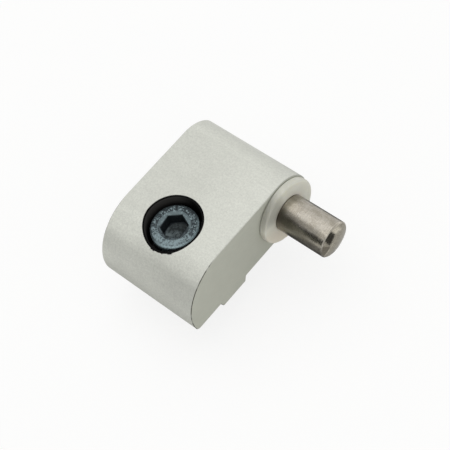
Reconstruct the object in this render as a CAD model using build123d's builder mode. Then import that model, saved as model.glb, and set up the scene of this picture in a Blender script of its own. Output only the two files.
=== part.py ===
from build123d import *
import math
import os

# Pin half of a lift-off hinge for slotted aluminium profile, in millimetres.
# The origin is on the screw's axis, in the plane of the mounting face.
# +X runs along the pin to its free end, +Y from the screw to the knuckle, +Z off the profile.

# extruded body: a dome over the screw, a flat top, and a round knuckle about the pin
body_length = 24.5
body_height = 15.0
dome_radius = 11.5
foot_radius = 1.0
screw_to_pin = 17.5
end_edge_break = 0.15
bore_edge_break = 0.3

# tongue that drops into the slot of the profile
tongue_root_width = 8.0
tongue_tip_width = 6.8
tongue_depth = 1.5
tongue_edge_radius = 0.2

# M6 socket head cap screw
thread_diameter = 6.0
screw_length = 16.0
screw_tip_chamfer = 0.8
head_diameter = 10.0
head_height = 6.0
head_edge_chamfer = 0.4
socket_across_flats = 5.0
socket_depth = 3.0
socket_point_angle = 120.0
socket_edge_break = 0.13
socket_turn = -22.0

# how the screw sits in the body
head_recess = 1.3
head_clearance = 0.8
head_seat_gap = 0.05
shank_clearance = 0.2

# black plastic liner of the counterbore
sleeve_wall = 0.5
sleeve_setback = 0.1

# hinge pin, a dowel with crowned ends, pressed into the knuckle
pin_diameter = 8.0
pin_length = 36.0
journal_length = 12.0
pin_chamfer = 0.3
pin_crown_radius = 12.0

# nylon thrust washer, snapped into a shallow groove of the pin
washer_thickness = 1.5
washer_rim_inset = 0.25
washer_edge_chamfer = 0.3
washer_running_clearance = 0.05
washer_end_play = 0.05
washer_groove_depth = 0.25

# places and sizes that follow from the ones above
end_x = body_length / 2
dome_centre_z = body_height - dome_radius
pin_z = body_height / 2
pin_axis = Plane((0, screw_to_pin, pin_z), x_dir=(0, 1, 0), z_dir=(1, 0, 0))
groove_width = washer_thickness + 2 * washer_end_play
groove_radius = pin_diameter / 2 - washer_groove_depth
pin_outer_x = end_x + groove_width + journal_length
pin_inner_x = pin_outer_x - pin_length
crown_rim = pin_diameter / 2 - pin_chamfer
crown_height = pin_crown_radius - math.sqrt(pin_crown_radius**2 - crown_rim**2)
sleeve_bore_radius = head_diameter / 2 + head_clearance
counterbore_radius = sleeve_bore_radius + sleeve_wall
head_top_z = body_height - head_recess
head_seat_z = head_top_z - head_height
counterbore_floor_z = head_seat_z - head_seat_gap
socket_point_depth = socket_across_flats / 2 / math.tan(math.radians(socket_point_angle / 2))


def dome_and_knuckle(inset=0.0):
    """End view of the extrusion without its tongue, drawn in by the inset, as a sketch of Y and Z."""
    low = inset
    high = body_height - inset
    radius = dome_radius - inset
    heel = -math.sqrt(radius**2 - (dome_centre_z - inset) ** 2)
    with BuildSketch() as outline:
        with BuildLine():
            foot = Line((screw_to_pin, low), (heel, low))
            dome = RadiusArc(foot @ 1, (0, high), radius)
            Line(dome @ 1, (screw_to_pin, high))
            CenterArc((screw_to_pin, pin_z), pin_z - inset, -90, 180)
        make_face()
        fillet(outline.vertices().group_by(Axis.Y)[0].sort_by(Axis.X)[0], foot_radius - inset)
    return outline.sketch


with BuildPart() as body:
    with BuildSketch(Plane.YZ):
        add(dome_and_knuckle())
        with BuildLine():
            Polyline(
                (-tongue_root_width / 2, 0),
                (-tongue_tip_width / 2, -tongue_depth),
                (tongue_tip_width / 2, -tongue_depth),
                (tongue_root_width / 2, 0),
                close=True,
            )
        make_face()
    extrude(amount=end_x, both=True)
    fillet(body.edges().filter_by(Axis.X).group_by(Axis.Z)[0], tongue_edge_radius)
    reach = tongue_depth / 2
    mounting_face_edges = body.edges().filter_by(Axis.X).filter_by_position(Axis.Z, -reach, reach)
    fillet(mounting_face_edges.sort_by(Axis.Y)[1:3], tongue_edge_radius)
    chamfer(body.faces().filter_by(Axis.X).edges(), end_edge_break)
    with Locations((0, 0, body_height)):
        CounterBoreHole(
            radius=thread_diameter / 2 + shank_clearance,
            counter_bore_radius=counterbore_radius,
            counter_bore_depth=body_height - counterbore_floor_z,
        )
    with BuildSketch(pin_axis.offset(-end_x)):
        Circle(pin_diameter / 2)
    extrude(amount=body_length, mode=Mode.SUBTRACT)
    bore_mouths = body.faces().filter_by(Axis.X).edges().filter_by(lambda edge: edge.is_closed)
    chamfer(bore_mouths, bore_edge_break)

with BuildPart() as screw_sleeve:
    with BuildSketch(Plane.XY.offset(counterbore_floor_z)):
        Circle(counterbore_radius)
        Circle(sleeve_bore_radius, mode=Mode.SUBTRACT)
    extrude(amount=body_height - counterbore_floor_z)
    # its rim is cut to the dome, a little below the surface
    with BuildSketch(Plane.YZ):
        add(dome_and_knuckle(sleeve_setback))
    extrude(amount=counterbore_radius, both=True, mode=Mode.INTERSECT)

with BuildPart() as cap_screw:
    with BuildSketch(Plane.XY.offset(head_seat_z)):
        Circle(head_diameter / 2)
    extrude(amount=head_height)
    chamfer(cap_screw.edges().group_by(Axis.Z)[-1], head_edge_chamfer)
    with BuildSketch(Plane.XY.offset(head_top_z)):
        RegularPolygon(socket_across_flats / 2, 6, major_radius=False, rotation=socket_turn)
    extrude(amount=-socket_depth, mode=Mode.SUBTRACT)
    socket_mouth = cap_screw.edges().group_by(Axis.Z)[-1].filter_by(GeomType.LINE)
    chamfer(socket_mouth, socket_edge_break)
    with Locations((0, 0, head_top_z - socket_depth)):
        Cone(
            bottom_radius=0,
            top_radius=socket_across_flats / 2,
            height=socket_point_depth,
            align=(Align.CENTER, Align.CENTER, Align.MAX),
            mode=Mode.SUBTRACT,
        )
    with BuildSketch(Plane.XY.offset(head_seat_z)):
        Circle(thread_diameter / 2)
    extrude(amount=-screw_length)
    chamfer(cap_screw.edges().group_by(Axis.Z)[0], screw_tip_chamfer)

with BuildPart() as hinge_pin:
    # half of its long section, from one crown to the other
    with BuildSketch(Plane.XY.offset(pin_z)):
        with BuildLine():
            inner_rim = (pin_inner_x + crown_height, screw_to_pin + crown_rim)
            outer_rim = (pin_outer_x - crown_height, screw_to_pin + crown_rim)
            inner_crown = RadiusArc((pin_inner_x, screw_to_pin), inner_rim, pin_crown_radius)
            Polyline(
                inner_rim,
                (inner_rim[0] + pin_chamfer, screw_to_pin + pin_diameter / 2),
                (outer_rim[0] - pin_chamfer, screw_to_pin + pin_diameter / 2),
                outer_rim,
            )
            outer_crown = RadiusArc(outer_rim, (pin_outer_x, screw_to_pin), pin_crown_radius)
            Line(outer_crown @ 1, inner_crown @ 0)
        make_face()
    revolve(axis=Axis((0, screw_to_pin, pin_z), (1, 0, 0)))
    with BuildSketch(pin_axis.offset(end_x)):
        Circle(pin_diameter / 2)
        Circle(groove_radius, mode=Mode.SUBTRACT)
    extrude(amount=groove_width, mode=Mode.SUBTRACT)

with BuildPart() as thrust_washer:
    with BuildSketch(pin_axis.offset(end_x + washer_end_play)):
        Circle(pin_z - washer_rim_inset)
        Circle(groove_radius + washer_running_clearance, mode=Mode.SUBTRACT)
    extrude(amount=washer_thickness)
    chamfer(thrust_washer.edges().filter_by(GeomType.CIRCLE), washer_edge_chamfer)

pieces = {
    "body": body,
    "screw_sleeve": screw_sleeve,
    "cap_screw": cap_screw,
    "hinge_pin": hinge_pin,
    "thrust_washer": thrust_washer,
}
os.makedirs("parts", exist_ok=True)
for name, piece in pieces.items():
    piece.part.label = name
    export_step(piece.part, f"parts/{name}.step")
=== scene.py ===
import math

import bmesh
import bpy
from mathutils import Euler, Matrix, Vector


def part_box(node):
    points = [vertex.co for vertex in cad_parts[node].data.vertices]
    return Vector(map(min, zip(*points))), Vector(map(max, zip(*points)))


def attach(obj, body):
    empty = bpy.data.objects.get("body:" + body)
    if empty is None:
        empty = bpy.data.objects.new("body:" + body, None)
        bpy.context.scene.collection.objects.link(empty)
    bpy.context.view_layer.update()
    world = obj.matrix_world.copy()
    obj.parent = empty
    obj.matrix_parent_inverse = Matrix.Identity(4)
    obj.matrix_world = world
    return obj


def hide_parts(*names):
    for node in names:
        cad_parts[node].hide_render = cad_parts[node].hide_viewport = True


bl_info = {
    "name": "Lift-off hinge",
    "version": (1, 0, 0),
    "blender": (4, 5, 0),
    "location": "3D View > Sidebar > Hinge",
    "description": "Dresses the pin half of a lift-off hinge for slotted profile",
    "category": "Object",
}

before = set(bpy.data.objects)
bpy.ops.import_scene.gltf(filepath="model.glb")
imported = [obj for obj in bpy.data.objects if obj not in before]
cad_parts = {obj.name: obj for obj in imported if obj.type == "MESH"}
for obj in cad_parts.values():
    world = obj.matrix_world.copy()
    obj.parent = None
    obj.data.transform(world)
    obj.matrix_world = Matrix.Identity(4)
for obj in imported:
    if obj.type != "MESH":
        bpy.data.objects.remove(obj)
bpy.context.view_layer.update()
MM = 0.001

# places that every piece shares, in the row's frame
PIN_AXIS = Vector((0.0, 17.5, 7.5)) * MM
BODY_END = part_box("body")[1].x
PIN_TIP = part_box("hinge_pin")[1].x
BODY_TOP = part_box("body")[1].z
HEAD_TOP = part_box("cap_screw")[1].z
SCREW_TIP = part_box("cap_screw")[0].z
DOME_RADIUS = 11.5 * MM
DOME_CENTRE = BODY_TOP - DOME_RADIUS


# ---------------------------------------------------------------- node trees


class Signal:
    """A socket of a node tree, so that the maths between sockets reads as a formula."""

    def __init__(self, recipe, socket):
        self.recipe = recipe
        self.socket = socket

    def sum_of(self, operation, *values):
        return self.recipe.add("ShaderNodeMath", {"operation": operation}, dict(enumerate(values)))

    def __add__(self, other):
        return self.sum_of("ADD", self, other)

    __radd__ = __add__

    def __sub__(self, other):
        return self.sum_of("SUBTRACT", self, other)

    def __rsub__(self, other):
        return self.sum_of("SUBTRACT", other, self)

    def __mul__(self, other):
        return self.sum_of("MULTIPLY", self, other)

    __rmul__ = __mul__

    def __truediv__(self, other):
        return self.sum_of("DIVIDE", self, other)

    def __rtruediv__(self, other):
        return self.sum_of("DIVIDE", other, self)

    def __mod__(self, other):
        return self.sum_of("FLOORED_MODULO", self, other)

    def __pow__(self, other):
        return self.sum_of("POWER", self, other)

    def __abs__(self):
        return self.sum_of("ABSOLUTE", self)

    def at_least(self, other):
        return self.sum_of("MAXIMUM", self, other)

    def at_most(self, other):
        return self.sum_of("MINIMUM", self, other)


class Recipe:
    """The node tree of one material, of the world, or of one geometry rule."""

    def __init__(self, tree):
        self.tree = tree

    def add(self, kind, settings=None, values=None, output=0):
        """Add a node: its settings first, then the values or links of its sockets."""
        node = self.tree.nodes.new(kind)
        for name, value in (settings or {}).items():
            setattr(node, name, value)
        for key, value in (values or {}).items():
            self.feed(node.inputs[key], value)
        return Signal(self, node.outputs[output]) if node.outputs else None

    def feed(self, socket, value):
        """Link a signal to a socket, or set the socket to a plain value."""
        if isinstance(value, Signal):
            self.tree.links.new(value.socket, socket)
        elif socket.type == "RGBA":
            socket.default_value = (*value, 1.0)
        else:
            socket.default_value = value

    def fade(self, value, start, end):
        """A smooth mask that goes from 0 at start to 1 at end."""
        return self.add(
            "ShaderNodeMapRange",
            {"interpolation_type": "SMOOTHSTEP"},
            {"Value": value, "From Min": start, "From Max": end},
        )

    def band(self, value, low, high, soft):
        """A smooth mask that is 1 between low and high, and fades out over soft."""
        return self.fade(value, low - soft, low + soft) * self.fade(value, high + soft, high - soft)

    def mix(self, mask, colour_a, colour_b):
        """Colour a where the mask is 0, colour b where it is 1."""
        return self.add(
            "ShaderNodeMix", {"data_type": "RGBA"}, {0: mask, 6: colour_a, 7: colour_b}, output=2
        )

    def scaled(self, colour, factor):
        """A colour made paler or darker by a factor."""
        return self.add("ShaderNodeVectorMath", {"operation": "SCALE"}, {0: colour, "Scale": factor})

    def combined(self, x, y, z):
        """A vector from its three parts."""
        return self.add("ShaderNodeCombineXYZ", {}, {"X": x, "Y": y, "Z": z})

    def noise(self, place, size, detail=2.0, rough=0.5, stretch=(1, 1, 1)):
        """Noise from 0 to 1, its features about size metres wide, times stretch along X, Y and Z."""
        drawn = self.add(
            "ShaderNodeMapping",
            {"vector_type": "POINT"},
            {"Vector": place, "Scale": tuple(1 / (size * s) for s in stretch)},
        )
        return self.add(
            "ShaderNodeTexNoise", {}, {"Vector": drawn, "Scale": 1.0, "Detail": detail, "Roughness": rough}
        )


def distance(across, up):
    """Distance from an axis, from the offsets in two directions across it."""
    return (across * across + up * up) ** 0.5


class Finish(Recipe):
    """A procedural material on Object coordinates."""

    def __init__(self, name):
        self.material = bpy.data.materials.new(name)
        self.material.use_nodes = True
        super().__init__(self.material.node_tree)
        self.tree.nodes.clear()
        self.place = self.add("ShaderNodeTexCoord", output="Object")
        parts = self.tree.nodes.new("ShaderNodeSeparateXYZ")
        self.feed(parts.inputs[0], self.place)
        self.x, self.y, self.z = (Signal(self, socket) for socket in parts.outputs)

    def bumps(self, *layers):
        """Stack bump layers of (height, distance in metres), and give the bent normal."""
        normal = None
        for height, distance in layers:
            values = {"Height": height, "Distance": distance, "Strength": 1.0}
            if normal:
                values["Normal"] = normal
            normal = self.add("ShaderNodeBump", {}, values)
        return normal

    def surface(self, **values):
        """Make the Principled surface; a keyword's underscores are the spaces of the socket's name."""
        sockets = {name.replace("_", " "): value for name, value in values.items()}
        shader = self.add("ShaderNodeBsdfPrincipled", {}, sockets)
        self.add("ShaderNodeOutputMaterial", {}, {"Surface": shader})
        return self.material


# ---------------------------------------------------------------- settings


def colour(name, default, description):
    return bpy.props.FloatVectorProperty(
        name=name, description=description, default=default, subtype="COLOR", size=3, min=0.0, max=1.0
    )


def length(name, default, description):
    return bpy.props.FloatProperty(
        name=name, description=description, default=default, unit="LENGTH", precision=5, min=0.0
    )


def number(name, default, description, **more):
    return bpy.props.FloatProperty(name=name, description=description, default=default, **more)


class BodySettings(bpy.types.PropertyGroup):
    """Looks of the extruded aluminium body."""

    skin: colour("Anodised skin", (0.665, 0.675, 0.62), "Colour of the extruded, anodised skin")
    # the cut ends' darker colour is partly their own duller finish and partly painted shade
    cut: colour("Cut ends", (0.525, 0.535, 0.465), "Colour of the sawn and anodised ends")
    # painted shade: the dark line drawn in the broken edge round the cut ends
    edge: colour("Edge line", (0.07, 0.07, 0.055), "Colour in the broken edge round the cut ends")
    speckle: number(
        "Speckle", 0.85, "How strongly the skin is speckled", min=0.0, max=1.0, subtype="FACTOR"
    )
    edge_break: length("Edge break", 0.15 * MM, "Width of the broken edge round the cut ends")


class SleeveSettings(bpy.types.PropertyGroup):
    """Sizes and looks of the black liner round the screw head."""

    plastic: colour("Plastic", (0.006, 0.006, 0.006), "Colour of the moulded liner")
    # painted light: the colour of the lit part of the wall
    painted_lit: colour("Rubbed", (0.050, 0.048, 0.046), "Colour where the wall is rubbed pale")
    bore_radius: length("Bore radius", 5.8 * MM, "Inner radius of the liner")
    setback: length("Setback", 0.1 * MM, "Depth of its rim below the dome")
    shred_height: length("Shred height", 0.22 * MM, "How far the torn bits of the rim stand out")


class ScrewSettings(bpy.types.PropertyGroup):
    """Sizes and looks of the socket head cap screw."""

    pale: colour("Pale zinc", (0.205, 0.268, 0.285), "Pale blue-grey of the plating")
    dark: colour("Dark zinc", (0.020, 0.027, 0.032), "Dark patches of the plating")
    socket_floor: colour("Socket floor", (0.13, 0.162, 0.17), "Colour at the bottom of the socket")
    head_radius: length("Head radius", 5.0 * MM, "Outer radius of the head, over its knurling")
    head_height: length("Head height", 6.0 * MM, "Height of the head")
    head_chamfer: length("Head chamfer", 0.4 * MM, "Width of the chamfer round the top of the head")
    across_flats: length("Across flats", 5.0 * MM, "Width of the hexagon socket")
    socket_depth: length("Socket depth", 3.0 * MM, "Depth of the socket's flats")
    socket_break: length("Socket edge break", 0.13 * MM, "Chamfer at the edge of the socket")
    mouth_radius: length("Mouth radius", 3.35 * MM, "Outer radius of the conical mouth of the socket")
    mouth_slope: number("Mouth slope", 0.22, "How steeply the conical mouth falls to the socket", min=0.0)
    socket_turn: number(
        "Socket turn", math.radians(-22), "Turn of the hexagon about the screw", subtype="ANGLE"
    )
    thread_radius: length("Thread radius", 3.0 * MM, "Outer radius of the thread")
    pitch: length("Pitch", 1.0 * MM, "Pitch of the thread")
    plain_length: length("Plain length", 1.2 * MM, "Length under the head with no thread")
    tip_chamfer: length("Tip chamfer", 0.8 * MM, "Chamfer at the end of the thread")
    ridges: bpy.props.IntProperty(
        name="Knurl ridges", description="Number of ridges round the head", default=60, min=12, max=120
    )
    ridge_radius: length("Ridge radius", 0.24 * MM, "Radius of one ridge of the knurling")


class PinSettings(bpy.types.PropertyGroup):
    """Sizes and looks of the hinge pin."""

    steel: colour("Ground steel", (0.385, 0.36, 0.315), "Colour of the ground pin")
    stain: colour("Stain", (0.24, 0.215, 0.17), "Brownish haze on the steel")
    crown: colour("Crown", (0.57, 0.53, 0.44), "Colour of the turned crowns")
    radius: length("Radius", 4.0 * MM, "Radius of the pin")
    chamfer: length("Chamfer", 0.22 * MM, "Chamfer at each end")
    edge_round: length("Edge round", 0.04 * MM, "Rounding of the chamfer's edges")
    crown_radius: length("Crown radius", 12.0 * MM, "Radius of the domed ends")
    groove_radius: length("Groove radius", 3.75 * MM, "Radius in the groove that holds the washer")


class WasherSettings(bpy.types.PropertyGroup):
    """Sizes and looks of the nylon thrust washer."""

    nylon: colour("Nylon", (0.75, 0.745, 0.66), "Colour of the natural nylon")
    # painted reflection: the warm colour below the bore stands for the pin's reflection
    warm: colour("Warm nylon", (0.81, 0.755, 0.65), "Warmer colour of the nylon by the pin and below it")
    bore_radius: length("Bore radius", 3.8 * MM, "Inner radius")
    edge_round: length("Edge round", 0.38 * MM, "Rounding of the outer edges")
    inner_round: length("Inner round", 0.3 * MM, "Rounding of the bore's edges")


class StageSettings(bpy.types.PropertyGroup):
    """Floor, lights and camera."""

    floor: colour("Floor", (0.80, 0.80, 0.79), "Colour of the floor under the lights")
    floor_size: length("Floor size", 4.0, "Side of the floor")
    sky: number("Sky", 0.70, "Strength of the even light", min=0.0)
    key_power: number("Key light", 1.2, "Power of the large soft light", min=0.0, unit="POWER")
    fill_power: number("Fill light", 0.2, "Power of the weaker light", min=0.0, unit="POWER")
    camera_place: bpy.props.FloatVectorProperty(
        name="Camera place",
        description="Where the camera stands",
        default=(0.121193, -0.065755, 0.221827),
        subtype="TRANSLATION",
        unit="LENGTH",
        size=3,
    )
    camera_turn: bpy.props.FloatVectorProperty(
        name="Camera turn",
        description="How the camera is turned",
        default=tuple(math.radians(a) for a in (31.0727, 10.7394, 40.4287)),
        subtype="EULER",
        size=3,
    )
    focal_length: number(
        "Focal length", 102.096, "Focal length in millimetres on a 36 mm sensor", min=1.0, unit="CAMERA"
    )


# ---------------------------------------------------------------- mesh helpers


def circle(radius, height, count, turn=0.0):
    """Points of a level circle about Z."""
    angles = [turn + i * math.tau / count for i in range(count)]
    return [Vector((radius * math.cos(angle), radius * math.sin(angle), height)) for angle in angles]


def hexagon(across_flats, height, count, turn, cone=(0.0, 0.0)):
    """Points of a hexagon about Z, with corners at turn and every sixth of a turn from it.

    The cone's radius at the height, and its slope, sink the points to where it cuts the hexagon.
    """
    points = []
    for i in range(count):
        angle = i * math.tau / count
        from_flat = (angle % (math.pi / 3)) - math.pi / 6
        reach = across_flats / 2 / math.cos(from_flat)
        sunk = (cone[0] - reach) * cone[1]
        points.append(
            Vector((reach * math.cos(turn + angle), reach * math.sin(turn + angle), height - sunk))
        )
    return points


def pin_ring(radius, x, count):
    """Points of a circle about the pin's axis."""
    angles = [i * math.tau / count for i in range(count)]
    return [
        Vector((x, PIN_AXIS.y + radius * math.cos(angle), PIN_AXIS.z + radius * math.sin(angle)))
        for angle in angles
    ]


def rounded(corners, steps=5):
    """A closed run of (u, v, rounding) corners as (u, v) points, with each corner rounded."""
    points = []
    for i, (u, v, rounding) in enumerate(corners):
        here = Vector((u, v))
        if not rounding:
            points.append(here)
            continue
        to_last = (Vector(corners[i - 1][:2]) - here).normalized()
        to_next = (Vector(corners[(i + 1) % len(corners)][:2]) - here).normalized()
        reach = rounding / math.tan(to_last.angle(to_next) / 2)
        start, end = here + to_last * reach, here + to_next * reach
        for step in range(steps + 1):
            t = step / steps
            points.append(start.lerp(here, t).lerp(here.lerp(end, t), t))
    return points


def skin(name, rings, tube=False):
    """Join rings of the same number of points, close the poles, and turn the faces outwards."""
    build = bmesh.new()
    rows = [[build.verts.new(point) for point in ring] for ring in rings]
    if tube:
        rows.append(rows[0])
    for low, high in zip(rows, rows[1:]):
        for i in range(len(low)):
            build.faces.new((low[i - 1], low[i], high[i], high[i - 1]))
    bmesh.ops.remove_doubles(build, verts=build.verts, dist=1e-7)
    bmesh.ops.recalc_face_normals(build, faces=build.faces)
    mesh = bpy.data.meshes.new(name)
    build.to_mesh(mesh)
    build.free()
    return mesh


def piece(name, mesh, finish, body, node, sharp=28.0):
    """Put a mesh in the scene as the piece that stands for a CAD node."""
    mesh.shade_smooth()
    mesh.set_sharp_from_angle(angle=math.radians(sharp))
    mesh.materials.clear()
    mesh.materials.append(finish)
    made = bpy.data.objects.new(name, mesh)
    bpy.context.scene.collection.objects.link(made)
    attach(made, body)
    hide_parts(node)
    return made


# ---------------------------------------------------------------- geometry rules


class Rule(Recipe):
    """A Geometry Nodes tree with named inputs, used once through a modifier."""

    def __init__(self, name, inputs):
        super().__init__(bpy.data.node_groups.new(name, "GeometryNodeTree"))
        face = self.tree.interface
        face.new_socket(name="Geometry", in_out="INPUT", socket_type="NodeSocketGeometry")
        self.names = {}
        for label, kind in inputs.items():
            self.names[label] = face.new_socket(name=label, in_out="INPUT", socket_type=kind).identifier
        face.new_socket(name="Geometry", in_out="OUTPUT", socket_type="NodeSocketGeometry")
        self.entry = self.tree.nodes.new("NodeGroupInput")

    def given(self, label):
        return Signal(self, self.entry.outputs[label])

    def give_back(self, geometry, material):
        """Join what was made with what came in, and end the tree."""
        join = self.tree.nodes.new("GeometryNodeJoinGeometry")
        self.tree.links.new(self.entry.outputs["Geometry"], join.inputs[0])
        self.tree.links.new(geometry.socket, join.inputs[0])
        plain = self.add("GeometryNodeRealizeInstances", {}, {0: Signal(self, join.outputs[0])})
        painted = self.add("GeometryNodeSetMaterial", {}, {"Geometry": plain, "Material": material})
        self.add("NodeGroupOutput", {}, {0: painted})

    def use_on(self, host, **values):
        """Add the rule to an object as a modifier, with its inputs set by identifier."""
        modifier = host.modifiers.new(self.tree.name, "NODES")
        modifier.node_group = self.tree
        for label, value in values.items():
            modifier[self.names[label.replace("_", " ").capitalize()]] = value


def thread_rule(material):
    """A thread with 60 degree flanks: a grid rolled round Z, sheared so that its rows follow the helix."""
    rule = Rule(
        "Screw thread",
        {
            "Pitch": "NodeSocketFloat",
            "Major radius": "NodeSocketFloat",
            "Top": "NodeSocketFloat",
            "Tip": "NodeSocketFloat",
            "Plain length": "NodeSocketFloat",
            "Tip chamfer": "NodeSocketFloat",
            "Columns": "NodeSocketInt",
        },
    )
    pitch, major, top, tip = (rule.given(k) for k in ("Pitch", "Major radius", "Top", "Tip"))
    rows_in_pitch = 16
    turns = (top - tip) / pitch + 1
    rows = turns * rows_in_pitch + 1
    grid = rule.add(
        "GeometryNodeMeshGrid",
        {},
        {"Size X": 1.0, "Size Y": 1.0, "Vertices X": rule.given("Columns") + 1, "Vertices Y": rows},
    )
    spot = rule.tree.nodes.new("ShaderNodeSeparateXYZ")
    rule.feed(spot.inputs[0], rule.add("GeometryNodeInputPosition"))
    around = Signal(rule, spot.outputs["X"]) + 0.5
    down = (0.5 - Signal(rule, spot.outputs["Y"])) * turns
    height = (top + (around - down) * pitch).at_least(tip).at_most(top)
    # shares of the pitch in a metric thread: the flat crest, a flank, and the depth
    crest_share, flank_share, depth_share = 0.125, 0.3125, 0.5413
    wave = (down + 0.00001) % 1
    depth = depth_share * pitch
    flank = ((wave - crest_share) / flank_share).at_most((1 - wave) / flank_share).at_least(0).at_most(1)
    neck = major - (top - height - rule.given("Plain length")).at_least(0) * 0.9
    radius = (major - depth * flank).at_least(neck).at_most(
        major - rule.given("Tip chamfer") + (height - tip)
    )
    # the first and the last row close the ends on the axis
    from_middle = abs(Signal(rule, spot.outputs["Y"]))
    radius = radius * rule.add("ShaderNodeMath", {"operation": "LESS_THAN"}, {0: from_middle, 1: 0.49999})
    angle = around * math.tau
    x = radius * angle.sum_of("COSINE", angle)
    y = radius * angle.sum_of("SINE", angle)
    place = rule.combined(x, y, height)
    rolled = rule.add("GeometryNodeSetPosition", {}, {"Geometry": grid, "Position": place})
    merged = rule.add("GeometryNodeMergeByDistance", {}, {"Geometry": rolled, "Distance": 2e-6})
    rule.give_back(merged, material)
    return rule


def knurl_rule(material):
    """Straight ridges side by side round a cylinder about Z."""
    rule = Rule(
        "Straight knurl",
        {
            "Ridges": "NodeSocketInt",
            "Ring radius": "NodeSocketFloat",
            "Ridge radius": "NodeSocketFloat",
            "Bottom": "NodeSocketFloat",
            "Height": "NodeSocketFloat",
        },
    )
    ring = rule.add(
        "GeometryNodeMeshCircle",
        {},
        {"Vertices": rule.given("Ridges"), "Radius": rule.given("Ring radius")},
    )
    ridge = rule.add(
        "GeometryNodeMeshCylinder",
        {},
        {"Vertices": 10, "Radius": rule.given("Ridge radius"), "Depth": rule.given("Height")},
    )
    lift = rule.combined(0.0, 0.0, rule.given("Bottom") + rule.given("Height") * 0.5)
    lifted = rule.add("GeometryNodeSetPosition", {}, {"Geometry": ridge, "Offset": lift})
    placed = rule.add("GeometryNodeInstanceOnPoints", {}, {"Points": ring, "Instance": lifted})
    rule.give_back(placed, material)
    return rule


# ---------------------------------------------------------------- finishes


def anodised_aluminium(settings):
    """Satin extruded aluminium: speckled skin, matt cut ends, dark line of painted shade in the broken edge."""
    f = Finish("anodised_aluminium")
    past_end = abs(f.x) / BODY_END
    cut = f.fade(past_end, 0.9990, 0.9996)
    edge_share = settings.edge_break / BODY_END
    edge = f.fade(past_end, 1 - edge_share * 1.15, 1 - edge_share * 0.8) * (1 - cut)
    grain = f.noise(f.place, 0.42 * MM, 3.0, 0.6)
    fine = f.noise(f.place, 0.13 * MM, 2.0, 0.6)
    drawn = f.noise(f.place, 0.5 * MM, 2.0, 0.5, stretch=(14, 1, 1))
    cloud = f.noise(f.place, 4.0 * MM, 2.0, 0.5)
    # painted glints: lighter specks in a band on the dome beside the screw
    beside_screw = f.band(f.y, -6.5 * MM, -1.5 * MM, 1.5 * MM)
    painted_glints = f.fade(f.noise(f.place, 0.3 * MM, 2.0, 0.6), 0.54, 0.66) * beside_screw
    speckles = (grain - 0.5) * 0.50 + (fine - 0.5) * 0.40 + (drawn - 0.5) * 0.10 + (cloud - 0.5) * 0.10
    tone = 1 + settings.speckle * (speckles + painted_glints * 0.12 - 0.005)
    # painted shade: the top face a little darker, most towards -X
    on_top = f.fade(f.z, BODY_TOP - 0.4 * MM, BODY_TOP - 0.05 * MM)
    tone = tone * (1 - on_top * (0.03 + 0.07 * f.fade(f.x, 9.0 * MM, -3.0 * MM)))
    # painted light and shade: darker low on the dome towards +X and on the knuckle, and lighter opposite
    painted_shade = f.band(f.y, -10.6 * MM, -7.4 * MM, 0.8 * MM) * (0.05 + 0.10 * f.fade(f.x, -3.0 * MM, 8.0 * MM))
    painted_shade = painted_shade + f.fade(f.y, 17.8 * MM, 23.0 * MM) * f.fade(f.z, 6.0 * MM, 9.0 * MM) * 0.11
    painted_light = f.band(f.y, -8.0 * MM, -5.0 * MM, 1.0 * MM) * f.fade(f.x, 3.0 * MM, -8.0 * MM) * 0.12
    tone = tone * (1 - painted_shade + painted_light)
    skin_colour = f.scaled(tuple(settings.skin), tone)
    ground = f.noise(f.place, 0.35 * MM, 3.0, 0.6, stretch=(1, 4, 1))
    cut_tone = 1 + (ground - 0.5) * 0.12 + (cloud - 0.5) * 0.12
    cut_colour = f.scaled(tuple(settings.cut), cut_tone)
    # painted shade: the broken edge is drawn as a dark line, patchy, strongest on the dome side, medium on the
    # knuckle and faint between
    broken = f.fade(f.noise(f.place, 1.6 * MM, 2.0, 0.5), 0.32, 0.55)
    patchy = f.fade(f.y, -1.0 * MM, -4.0 * MM) * (0.35 + 0.65 * broken) + f.fade(f.y, 14.0 * MM, 17.0 * MM) * 0.3
    # the cut ends take their darker colour: partly their own duller finish, partly painted shade
    colour = f.mix(cut, skin_colour, cut_colour)
    colour = f.mix(edge * (0.08 + 0.92 * patchy), colour, tuple(settings.edge))
    # painted shade: the floor under the screw head, seen only through the gap beside it, is drawn near black
    off_axis = distance(f.x, f.y)
    painted_shade_under_head = f.fade(off_axis, 6.28 * MM, 6.2 * MM) * f.fade(f.z, 7.0 * MM, 7.5 * MM)
    colour = f.mix(painted_shade_under_head, colour, (0.012, 0.012, 0.011))
    rough = 0.52 + (grain - 0.5) * 0.16 + cut * 0.08
    normal = f.bumps((grain * (1 - cut), 0.010 * MM), (fine, 0.006 * MM), (ground * cut, 0.004 * MM))
    return f.surface(
        Base_Color=colour, Metallic=(0.25 - 0.15 * cut) * (1 - painted_shade_under_head), Roughness=rough, Normal=normal
    )


def black_plastic(settings):
    """Moulded black plastic with painted light, lighter high on one side of the wall towards its rim, and fine
    rings from turning.
    """
    f = Finish("black_plastic")
    off_axis = distance(f.x, f.y)
    on_wall = f.fade(off_axis, settings.bore_radius + 0.10 * MM, settings.bore_radius + 0.04 * MM)
    # painted light: the wall lit high up on its -X side, patchy
    painted_lit = f.fade(f.z, 11.0 * MM, 14.2 * MM) * f.fade(f.x, 0.5 * MM, -4.0 * MM) * on_wall
    painted_lit = painted_lit * (0.6 + 0.4 * f.noise(f.place, 1.2 * MM, 3.0, 0.6))
    rings = f.noise(f.place, 0.16 * MM, 1.0, 0.5, stretch=(20, 20, 1))
    mottle = f.noise(f.place, 0.3 * MM, 3.0, 0.6)
    colour = f.mix(painted_lit, tuple(settings.plastic), tuple(settings.painted_lit))
    return f.surface(
        Base_Color=colour,
        Roughness=0.6 + 0.25 * mottle,
        Normal=f.bumps((rings, 0.012 * MM), (mottle, 0.01 * MM)),
        Specular_IOR_Level=0.03,
    )


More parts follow.
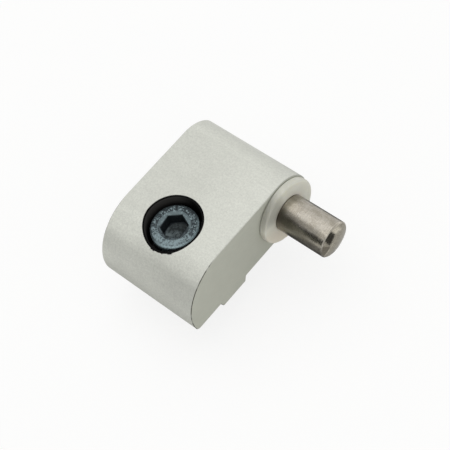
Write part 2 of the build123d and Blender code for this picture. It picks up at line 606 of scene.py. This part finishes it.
def zinc_plated_steel(settings):
    """Plated steel, blue-grey and mottled, with painted light and shade on the head: a lit and shaded cone round
    the socket, a dark socket, and a lit side and chamfer.
    """
    f = Finish("zinc_plated_steel")
    off_axis = distance(f.x, f.y)
    coarse = f.noise(f.place, 0.75 * MM, 2.0, 0.6)
    fine = f.noise(f.place, 0.30 * MM, 2.0, 0.6)
    in_head = f.fade(f.z, HEAD_TOP - 5.5 * MM, HEAD_TOP - 5.0 * MM)
    # painted light: the head lighter towards -Y and +X, and the thread light all over
    painted_lit_side = f.fade(0.34 * f.x - 0.94 * f.y, -1.2 * MM, 4.6 * MM).at_least(0.8 * (1 - in_head))
    patch = f.fade(coarse * 0.4 + fine * 0.6, 0.50 - 0.09 * painted_lit_side, 0.60 - 0.08 * painted_lit_side)
    pale = 0.06 + 0.30 * painted_lit_side + (0.90 - 0.32 * painted_lit_side) * patch
    # painted light and shade: the conical mouth is pale on its far side, where it faces up the slope, and dark
    # on the near side
    in_cone = f.fade(off_axis, 3.45 * MM, 3.35 * MM)
    mouth = f.fade(f.z, HEAD_TOP - 0.005 * MM, HEAD_TOP - 0.03 * MM) * in_cone * in_head
    far_side = f.fade(f.y - 0.65 * f.x, -1.2 * MM, 0.8 * MM)
    pale = pale * (1 - mouth) + mouth * (0.05 + 0.58 * far_side + 0.2 * patch)
    # painted highlight: a pale ring along the edge of the mouth
    on_face = f.fade(f.z, HEAD_TOP - 0.3 * MM, HEAD_TOP - 0.1 * MM)
    ridge = f.band(off_axis, 3.30 * MM, 3.42 * MM, 0.07 * MM) * on_face
    pale = pale.at_least(ridge * 0.8)
    colour = f.mix(pale, tuple(settings.dark), tuple(settings.pale))
    # painted light: lighter, patchy colour at the top of the head's side
    high_up = f.fade(f.z, HEAD_TOP - 1.3 * MM, HEAD_TOP - 0.5 * MM)
    flank = f.fade(off_axis, 4.72 * MM, 4.80 * MM) * high_up
    colour = f.mix(flank * (0.35 + 0.65 * patch), colour, tuple(1.8 * c for c in settings.pale))
    # painted light and shade: the chamfer is lit towards the pin and dark on the other side
    over_side = f.fade(f.z, HEAD_TOP - 0.6 * MM, HEAD_TOP - 0.45 * MM)
    chamfer = f.fade(off_axis, 4.58 * MM, 4.70 * MM) * over_side
    towards_pin = f.fade(0.94 * f.x - 0.34 * f.y, -0.5 * MM, 3.0 * MM)
    colour = f.mix(chamfer * (1 - towards_pin) * 0.7, colour, tuple(settings.dark))
    bright = tuple(2.2 * c for c in settings.pale)
    colour = f.mix(chamfer * towards_pin * (0.6 + 0.4 * patch), colour, bright)
    # painted shade: the socket's walls drawn dark
    below_face = f.fade(f.z, HEAD_TOP - 0.15 * MM, HEAD_TOP - 0.4 * MM)
    in_socket = below_face * f.fade(off_axis, 3.0 * MM, 2.95 * MM) * in_head
    colour = f.mix(in_socket, colour, tuple(1.1 * c for c in settings.dark))
    # the socket's floor: turning marks, with painted light that makes it lighter on one side and dark on the
    # other
    turned = f.noise(f.combined(off_axis, 0.15 * f.x, 0.15 * f.y), 0.26 * MM, 2.0, 0.6)
    at_bottom = f.fade(f.z, HEAD_TOP - 2.9 * MM, HEAD_TOP - 3.0 * MM)
    on_floor = in_socket * f.fade(off_axis, 2.48 * MM, 2.40 * MM) * at_bottom
    lit = f.fade(0.34 * f.x - 0.94 * f.y, -2.4 * MM, 1.2 * MM)
    floor_colour = f.mix(
        f.fade(turned * 0.5 + coarse * 0.5, 0.44, 0.56) * (0.15 + 0.85 * lit) + 0.25 * lit,
        tuple(0.22 * c for c in settings.socket_floor),
        tuple(settings.socket_floor),
    )
    colour = f.mix(on_floor, colour, floor_colour)
    return f.surface(
        Base_Color=colour,
        Metallic=0.6,
        Roughness=0.38 + 0.25 * (1 - patch),
        Normal=f.bumps((coarse, 0.04 * MM), (fine, 0.02 * MM)),
    )


def stainless_steel(settings):
    """Centreless-ground steel: fine rings round the pin, a brownish haze, and turned crowns."""
    f = Finish("stainless_steel")
    across = f.combined(f.x, f.y - PIN_AXIS.y, f.z - PIN_AXIS.z)
    rings = f.noise(across, 0.07 * MM, 2.0, 0.6, stretch=(1, 14, 14))
    cloud = f.noise(across, 1.1 * MM, 3.0, 0.6, stretch=(1.5, 1, 1))
    fine = f.noise(across, 0.22 * MM, 3.0, 0.6)
    lines = f.noise(across, 0.2 * MM, 3.0, 0.7, stretch=(1, 16, 16))
    haze = f.fade(cloud * 0.75 + fine * 0.25, 0.62, 0.38)
    colour = f.mix(haze * 0.55, tuple(settings.steel), tuple(settings.stain))
    up, over = f.z - PIN_AXIS.z, f.y - PIN_AXIS.y
    from_axis = distance(up, over)
    # painted highlights: lighter along one side towards the tip, and on top beside the washer
    painted_lit = f.fade((0.78 * up - 0.63 * over) / from_axis, 0.90, 0.985) * f.fade(f.x, 22.5 * MM, 24.8 * MM)
    sheen = f.fade(up / from_axis, 0.93, 0.99) * f.fade(f.x, 17.8 * MM, 15.2 * MM)
    painted_light = f.fade((0.64 * up - 0.77 * over) / from_axis, 0.95, 0.99) * f.fade(f.x, 22.5 * MM, 24.3 * MM)
    # painted light and shade: the chamfer is darker low on one side and lighter on top
    aside, along = 0.76 * up - 0.65 * over, 0.65 * up + 0.76 * over
    on_chamfer = f.band(f.x, PIN_TIP - 0.90 * MM, PIN_TIP - 0.60 * MM, 0.03 * MM)
    rim = on_chamfer * (0.5 - 0.85 * f.fade(along, 2.6 * MM, 0.2 * MM))
    ground = 0.60 + 0.5 * lines + 0.36 * fine
    colour = f.scaled(colour, ground * (1 + 0.45 * painted_lit + 0.28 * sheen + 0.2 * painted_light) * (1 + rim))
    # painted shade and reflection: a dark band along one side of the pin near the washer, and a dark ring beside
    # the washer
    painted_dark_band = f.fade((0.67 * up - 0.74 * over) / from_axis, 0.89, 0.985) * f.fade(f.x, 21.5 * MM, 15.5 * MM)
    near = f.fade((0.67 * up - 0.74 * over) / from_axis, 0.84, 0.95) * f.fade(f.x, 17.5 * MM, 15.0 * MM)
    below = f.fade((0.14 * up - 0.99 * over) / from_axis, 0.93, 0.995) * f.fade(f.x, 17.5 * MM, 14.5 * MM)
    ring = f.fade(f.x, 14.05 * MM, 13.9 * MM)
    painted_shade_by_washer = (painted_dark_band * 0.8).at_least(near * 0.6).at_least(ring * 0.75).at_least(below * 0.45)
    colour = f.mix(painted_shade_by_washer, colour, tuple(0.28 * c for c in settings.stain))
    # the crown stands 0.6 mm out of its own rim
    end = f.fade(f.x, PIN_TIP - 0.62 * MM, PIN_TIP - 0.57 * MM)
    grooves = f.noise(f.combined(from_axis, 0.1 * f.y, 0.1 * f.z), 0.14 * MM, 2.0, 0.6)
    patchy = f.fade(fine * 0.45 + cloud * 0.25 + grooves * 0.3, 0.36, 0.62)
    # the turned crown: a painted dark reflection low on one side, with a painted highlight line beside it,
    # broken up by grit
    grit = f.noise(across, 0.28 * MM, 3.0, 0.7)
    painted_dark_reflection = f.fade(aside, 1.2 * MM, 1.5 * MM) * f.fade(along, -0.7 * MM, -1.3 * MM)
    streak = f.band(aside, 1.0 * MM, 1.25 * MM, 0.12 * MM) * f.fade(along, 0.3 * MM, -0.5 * MM)
    painted_highlight_line = streak * f.fade(grit, 0.45, 0.55)
    crown_colour = f.mix((patchy * 0.5).at_least(painted_dark_reflection), tuple(settings.crown), tuple(settings.stain))
    colour = f.mix(end, colour, f.scaled(crown_colour, 0.28 + 1.5 * grit + 0.7 * painted_highlight_line))
    side = 1 - end
    return f.surface(
        Base_Color=colour,
        Metallic=1.0,
        Roughness=0.09 + 0.05 * fine + (0.05 + 0.14 * cloud) * side,
        Normal=f.bumps(
            (rings * side, 0.016 * MM),
            (fine, 0.006 * MM),
            (cloud * side, 0.03 * MM),
            (grooves * end, 0.004 * MM),
        ),
    )


def natural_nylon(settings):
    """Milky, slightly translucent nylon with faint moulding marks."""
    f = Finish("natural_nylon")
    cloud = f.noise(f.place, 1.8 * MM, 3.0, 0.5)
    fine = f.noise(f.place, 0.3 * MM, 2.0, 0.5)
    across, up = f.y - PIN_AXIS.y, f.z - PIN_AXIS.z
    from_pin = distance(across, up)
    # painted shade makes it dimmer to one side of the bore; a painted reflection of the pin makes it warm below
    # the bore; it is warm close round the bore too, and darker at the rim
    shaded = f.fade((0.77 * up - 0.64 * across) / from_pin, 0.76, 0.99)
    by_pin = f.fade(from_pin, 4.9 * MM, 4.1 * MM) * 0.7
    warm = f.fade((-0.94 * up - 0.34 * across) / from_pin, 0.0, 0.9).at_least(by_pin)
    rim = f.fade(from_pin, 6.95 * MM, 7.2 * MM)
    tone = (1 + (cloud - 0.5) * 0.12) * (1 - 0.34 * shaded) * (1 - 0.22 * rim)
    colour = f.mix(warm, tuple(settings.nylon), tuple(settings.warm))
    colour = f.scaled(colour, tone)
    return f.surface(
        Base_Color=colour,
        Roughness=0.34 + 0.12 * fine,
        Normal=f.bumps((fine, 0.008 * MM), (cloud, 0.03 * MM)),
        Subsurface_Weight=0.6,
        Subsurface_Radius=(1.0, 0.95, 0.8),
        Subsurface_Scale=1.2 * MM,
        IOR=1.53,
    )


# ---------------------------------------------------------------- operators


class HINGE_OT_stage(bpy.types.Operator):
    """Lay the floor, hang the lights and set the camera"""

    bl_idname = "hinge.stage"
    bl_label = "Stage"

    def execute(self, context):
        settings = context.scene.hinge_stage
        scene = context.scene

        finish = Finish("floor")
        path = finish.tree.nodes.new("ShaderNodeLightPath")
        seen = (
            Signal(finish, path.outputs["Is Camera Ray"])
            .at_least(Signal(finish, path.outputs["Is Glossy Ray"]))
            .at_least(Signal(finish, path.outputs["Is Transmission Ray"]))
        )
        paper = finish.noise(finish.place, 2 * MM, 2.0, 0.5)
        matt = finish.add(
            "ShaderNodeBsdfDiffuse",
            {},
            {"Color": finish.mix(paper * 0.1, tuple(settings.floor), tuple(0.98 * c for c in settings.floor))},
        )
        half = finish.add("ShaderNodeBsdfDiffuse", {}, {"Color": tuple(0.24 * c for c in settings.floor)})
        glow = finish.add("ShaderNodeEmission", {}, {"Color": (1.0, 1.0, 1.0), "Strength": 0.80})
        bright = finish.add("ShaderNodeAddShader", {}, {0: half, 1: glow})
        both = finish.add("ShaderNodeMixShader", {}, {0: seen, 1: matt, 2: bright})
        finish.add("ShaderNodeOutputMaterial", {}, {"Surface": both})

        floor_height = SCREW_TIP - 0.05 * MM
        half_side = settings.floor_size / 2
        mesh = bpy.data.meshes.new("floor")
        corners = [(x * half_side, y * half_side, floor_height) for x, y in ((-1, -1), (1, -1), (1, 1), (-1, 1))]
        mesh.from_pydata(corners, [], [(0, 1, 2, 3)])
        mesh.materials.append(finish.material)
        floor = bpy.data.objects.new("floor", mesh)
        scene.collection.objects.link(floor)

        # cards that show only in gloss, as (name, tone, glow, corners in millimetres): upright ones
        # round the hinge, and ones on the floor that its underside and the pin's crown mirror; the grey
        # ones lying under and beside the hinge are painted shadow, standing for its shadow on the floor
        def standing(start, end, height):
            return [(*start, 0), (*end, 0), (*end, height), (*start, height)]

        def lying(lift, *corners):
            return [(*corner, floor_height / MM + lift) for corner in corners]

        for name, tone, glow, corners in (
            ("left_card", 0.03, 0.0, standing((-419, -97), (219, -383), 196)),
            ("back_card", 0.8, 2.2, standing((-463, 216), (63, 504), 420)),
            # painted shadow: the next four cards stand for the hinge's shadow on the floor
            ("low_card", 0.34, 0.0, lying(0.3, (-22, -55), (24, -55), (24, 21), (-22, 21))),
            ("near_card", 0.56, 0.0, lying(0.2, (24, 0), (75, 0), (75, 60), (24, 60))),
            ("front_strip", 0.17, 0.0, lying(0.4, (5, 5), (24, 5), (24, 19), (5, 19))),
            ("back_strip", 0.10, 0.0, lying(0.5, (4, 20), (24, 20), (12, 52), (-14, 52))),
            ("light_card", 0.8, 1.0, lying(0.4, (72, 31.5), (43.5, 27.8), (35.5, 30.9), (55, 39))),
            ("dark_card", 0.05, 0.0, lying(0.5, (43.5, 27.8), (37.7, 19.2), (60, 16.5), (72, 31.5))),
        ):
            finish = Finish(name)
            cloth = finish.noise(finish.place, 1 * MM, 2.0, 0.5)
            finish.surface(
                Base_Color=finish.mix(cloth * 0.2, (tone,) * 3, (1.1 * tone,) * 3),
                Roughness=1.0,
                Emission_Color=(1.0, 1.0, 1.0),
                Emission_Strength=0.2 * glow,
            )
            mesh = bpy.data.meshes.new(name)
            mesh.from_pydata([Vector(corner) * MM for corner in corners], [], [(0, 1, 2, 3)])
            mesh.materials.append(finish.material)
            card = bpy.data.objects.new(name, mesh)
            card.visible_camera = card.visible_diffuse = card.visible_shadow = False
            scene.collection.objects.link(card)

        world = bpy.data.worlds.new("studio")
        world.use_nodes = True
        scene.world = world
        sky = Recipe(world.node_tree)
        world.node_tree.nodes.clear()
        light = sky.add("ShaderNodeBackground", {}, {"Color": (1.0, 1.0, 0.985), "Strength": settings.sky})
        sky.add("ShaderNodeOutputWorld", {}, {"Surface": light})

        target = Vector((0.004, 0.006, 0.008))
        for name, power, size, place in (
            ("key_light", settings.key_power, 0.70, Vector((-0.12, 0.11, 0.60))),
            ("fill_light", settings.fill_power, 0.40, Vector((0.45, -0.10, 0.35))),
        ):
            lamp = bpy.data.lights.new(name, "AREA")
            lamp.energy = power
            lamp.shape = "SQUARE"
            lamp.size = size
            hung = bpy.data.objects.new(name, lamp)
            hung.location = place
            hung.rotation_euler = (target - place).to_track_quat("-Z", "Y").to_euler()
            scene.collection.objects.link(hung)

        camera = bpy.data.cameras.new("camera")
        camera.sensor_width = 36.0
        camera.lens = settings.focal_length
        camera.clip_start = 0.005
        camera.clip_end = 20.0
        stand = bpy.data.objects.new("camera", camera)
        stand.location = settings.camera_place
        stand.rotation_euler = Euler(settings.camera_turn, "XYZ")
        scene.collection.objects.link(stand)
        scene.camera = stand
        scene.view_settings.view_transform = "Standard"
        return {"FINISHED"}


class HINGE_OT_body(bpy.types.Operator):
    """Finish the extruded body"""

    bl_idname = "hinge.body"
    bl_label = "Body"

    def execute(self, context):
        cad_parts["body"].data.materials[0] = anodised_aluminium(context.scene.hinge_body)
        return {"FINISHED"}


class HINGE_OT_screw_sleeve(bpy.types.Operator):
    """Make the black liner of the counterbore, its rim cut to the dome"""

    bl_idname = "hinge.screw_sleeve"
    bl_label = "Screw sleeve"

    # torn bits of the rim: direction from the screw's axis, width and height as a share of the largest
    shreds = ((264.0, 3.0, 0.7), (269.5, 2.0, 1.0), (288.0, 3.5, 0.5), (303.0, 4.0, 1.0), (307.0, 2.0, 0.5))

    def execute(self, context):
        settings = context.scene.hinge_sleeve
        low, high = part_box("screw_sleeve")
        outer, inner, count = high.x, settings.bore_radius, 360

        def rim_height(y):
            reach = DOME_RADIUS - settings.setback
            return DOME_CENTRE + (math.sqrt(reach**2 - y**2) if y < 0 else reach)

        def rim(radius, sunk, torn=0.0):
            points = []
            for point in circle(radius, 0.0, count):
                angle = math.degrees(math.atan2(point.y, point.x)) % 360
                shares = (
                    share * math.exp(-(((angle - where) / wide) ** 2)) for where, wide, share in self.shreds
                )
                stands = torn * sum(shares) * settings.shred_height
                out = 1 + stands * 0.9 / radius
                points.append(Vector((point.x * out, point.y * out, rim_height(point.y) - sunk + stands)))
            return points

        corner = 0.12 * MM
        mesh = skin(
            "screw_sleeve",
            [
                circle(outer, low.z, count),
                rim(outer, corner),
                rim(outer, 0.0, torn=1.0),
                rim(outer - corner, 0.0, torn=0.7),
                rim(inner + corner, 0.0),
                rim(inner + corner * 0.3, corner * 0.3),
                rim(inner, corner),
                rim(inner, 1.2 * MM),
                circle(inner, low.z, count),
            ],
            tube=True,
        )
        piece("sleeve", mesh, black_plastic(settings), "hinge_half", "screw_sleeve")
        return {"FINISHED"}


class HINGE_OT_cap_screw(bpy.types.Operator):
    """Make the socket head cap screw with its knurled head and its thread"""

    bl_idname = "hinge.cap_screw"
    bl_label = "Cap screw"

    def execute(self, context):
        s = context.scene.hinge_screw
        count = 240
        seat = HEAD_TOP - s.head_height
        ridge_ring = s.head_radius - s.ridge_radius
        core = s.head_radius - 0.15 * MM
        floor = HEAD_TOP - s.socket_depth
        finish = zinc_plated_steel(s)
        side_top = HEAD_TOP - s.head_chamfer
        turn = s.socket_turn
        cone = (s.mouth_radius, s.mouth_slope)
        rings = [
            circle(0.0, seat, count, turn),
            circle(core - 0.25 * MM, seat, count, turn),
            circle(core, seat + 0.25 * MM, count, turn),
            circle(core, side_top - 0.25 * MM, count, turn),
            circle(s.head_radius - 0.02 * MM, side_top - 0.08 * MM, count, turn),
            circle(s.head_radius - 0.06 * MM, side_top + 0.06 * MM, count, turn),
            circle(s.head_radius - s.head_chamfer + 0.06 * MM, HEAD_TOP - 0.06 * MM, count, turn),
            circle(s.head_radius - s.head_chamfer - 0.06 * MM, HEAD_TOP, count, turn),
            circle(s.mouth_radius, HEAD_TOP, count, turn),
            hexagon(s.across_flats + 2 * s.socket_break, HEAD_TOP, count, turn, cone),
            hexagon(s.across_flats, HEAD_TOP - s.socket_break, count, turn, cone),
            hexagon(s.across_flats, floor, count, turn),
            circle(s.across_flats / 2 * 0.98, floor - 0.02 * MM, count, turn),
            circle(0.3 * MM, floor - 1.29 * MM, count, turn),
            circle(0.0, floor - 1.36 * MM, count, turn),
        ]
        mesh = skin("cap_screw_head", rings)
        host = bpy.data.objects.new("cap_screw_host", mesh)
        context.scene.collection.objects.link(host)
        mesh.materials.append(finish)
        thread_rule(finish).use_on(
            host,
            pitch=s.pitch,
            major_radius=s.thread_radius,
            top=seat + 0.3 * MM,
            tip=SCREW_TIP,
            plain_length=s.plain_length,
            tip_chamfer=s.tip_chamfer,
            columns=64,
        )
        knurl_rule(finish).use_on(
            host,
            ridges=s.ridges,
            ring_radius=ridge_ring,
            ridge_radius=s.ridge_radius,
            bottom=seat + 0.3 * MM,
            height=s.head_height - s.head_chamfer - 0.5 * MM,
        )
        context.view_layer.update()
        ready = host.evaluated_get(context.evaluated_depsgraph_get())
        plain = bpy.data.meshes.new_from_object(ready)
        plain.name = "cap_screw"
        bpy.data.objects.remove(host)
        piece("socket_cap_screw", plain, finish, "screw", "cap_screw")
        return {"FINISHED"}


class HINGE_OT_hinge_pin(bpy.types.Operator):
    """Turn the hinge pin with its crowned ends"""

    bl_idname = "hinge.hinge_pin"
    bl_label = "Hinge pin"

    def execute(self, context):
        s = context.scene.hinge_pin
        low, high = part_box("hinge_pin")
        washer_low, washer_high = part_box("thrust_washer")
        slack = washer_low.x - BODY_END
        rim = s.radius - s.chamfer

        def sunk(off_axis):
            """How far the crown has fallen away at a distance from the pin's axis."""
            return s.crown_radius - math.sqrt(s.crown_radius**2 - off_axis**2)

        crown = [rim * i / 10 for i in range(10)]
        profile = rounded(
            [
                *((low.x + sunk(v), v, 0.0) for v in crown),
                (low.x + sunk(rim), rim, s.edge_round),
                (low.x + sunk(rim) + s.chamfer, s.radius, s.edge_round),
                (BODY_END, s.radius, 0.0),
                (BODY_END, s.groove_radius, 0.0),
                (washer_high.x + slack, s.groove_radius, 0.0),
                (washer_high.x + slack, s.radius, 0.02 * MM),
                (high.x - sunk(rim) - s.chamfer, s.radius, s.edge_round),
                (high.x - sunk(rim), rim, s.edge_round),
                *((high.x - sunk(v), v, 0.0) for v in reversed(crown)),
            ]
        )
        mesh = skin("hinge_pin", [pin_ring(v, u, 160) for u, v in profile])
        piece("dowel", mesh, stainless_steel(s), "hinge_half", "hinge_pin", sharp=50.0)
        return {"FINISHED"}


class HINGE_OT_thrust_washer(bpy.types.Operator):
    """Turn the nylon washer with its rounded edges"""

    bl_idname = "hinge.thrust_washer"
    bl_label = "Thrust washer"

    def execute(self, context):
        s = context.scene.hinge_washer
        low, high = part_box("thrust_washer")
        outer = high.z - PIN_AXIS.z
        profile = rounded(
            [
                (low.x, s.bore_radius, s.inner_round),
                (low.x, outer, s.edge_round),
                (high.x, outer, s.edge_round),
                (high.x, s.bore_radius, s.inner_round),
            ],
            steps=8,
        )
        mesh = skin("thrust_washer", [pin_ring(v, u, 192) for u, v in profile], tube=True)
        piece("washer", mesh, natural_nylon(s), "washer", "thrust_washer", sharp=60.0)
        return {"FINISHED"}


class HINGE_PT_panel(bpy.types.Panel):
    """Buttons that dress the hinge"""

    bl_idname = "HINGE_PT_panel"
    bl_label = "Lift-off hinge"
    bl_space_type = "VIEW_3D"
    bl_region_type = "UI"
    bl_category = "Hinge"

    def draw(self, context):
        for maker in MAKERS:
            self.layout.operator(maker.bl_idname)


MAKERS = (
    HINGE_OT_stage,
    HINGE_OT_body,
    HINGE_OT_screw_sleeve,
    HINGE_OT_cap_screw,
    HINGE_OT_hinge_pin,
    HINGE_OT_thrust_washer,
)
SETTINGS = {
    "hinge_stage": StageSettings,
    "hinge_body": BodySettings,
    "hinge_sleeve": SleeveSettings,
    "hinge_screw": ScrewSettings,
    "hinge_pin": PinSettings,
    "hinge_washer": WasherSettings,
}


def register():
    for group in (*SETTINGS.values(), *MAKERS, HINGE_PT_panel):
        bpy.utils.register_class(group)
    for name, group in SETTINGS.items():
        setattr(bpy.types.Scene, name, bpy.props.PointerProperty(type=group))


def unregister():
    for name in SETTINGS:
        delattr(bpy.types.Scene, name)
    for group in (HINGE_PT_panel, *reversed(MAKERS), *SETTINGS.values()):
        bpy.utils.unregister_class(group)


def main():
    register()
    bpy.ops.hinge.stage()
    bpy.ops.hinge.body()
    bpy.ops.hinge.screw_sleeve()
    bpy.ops.hinge.cap_screw()
    bpy.ops.hinge.hinge_pin()
    bpy.ops.hinge.thrust_washer()


if __name__ == "__main__":
    main()
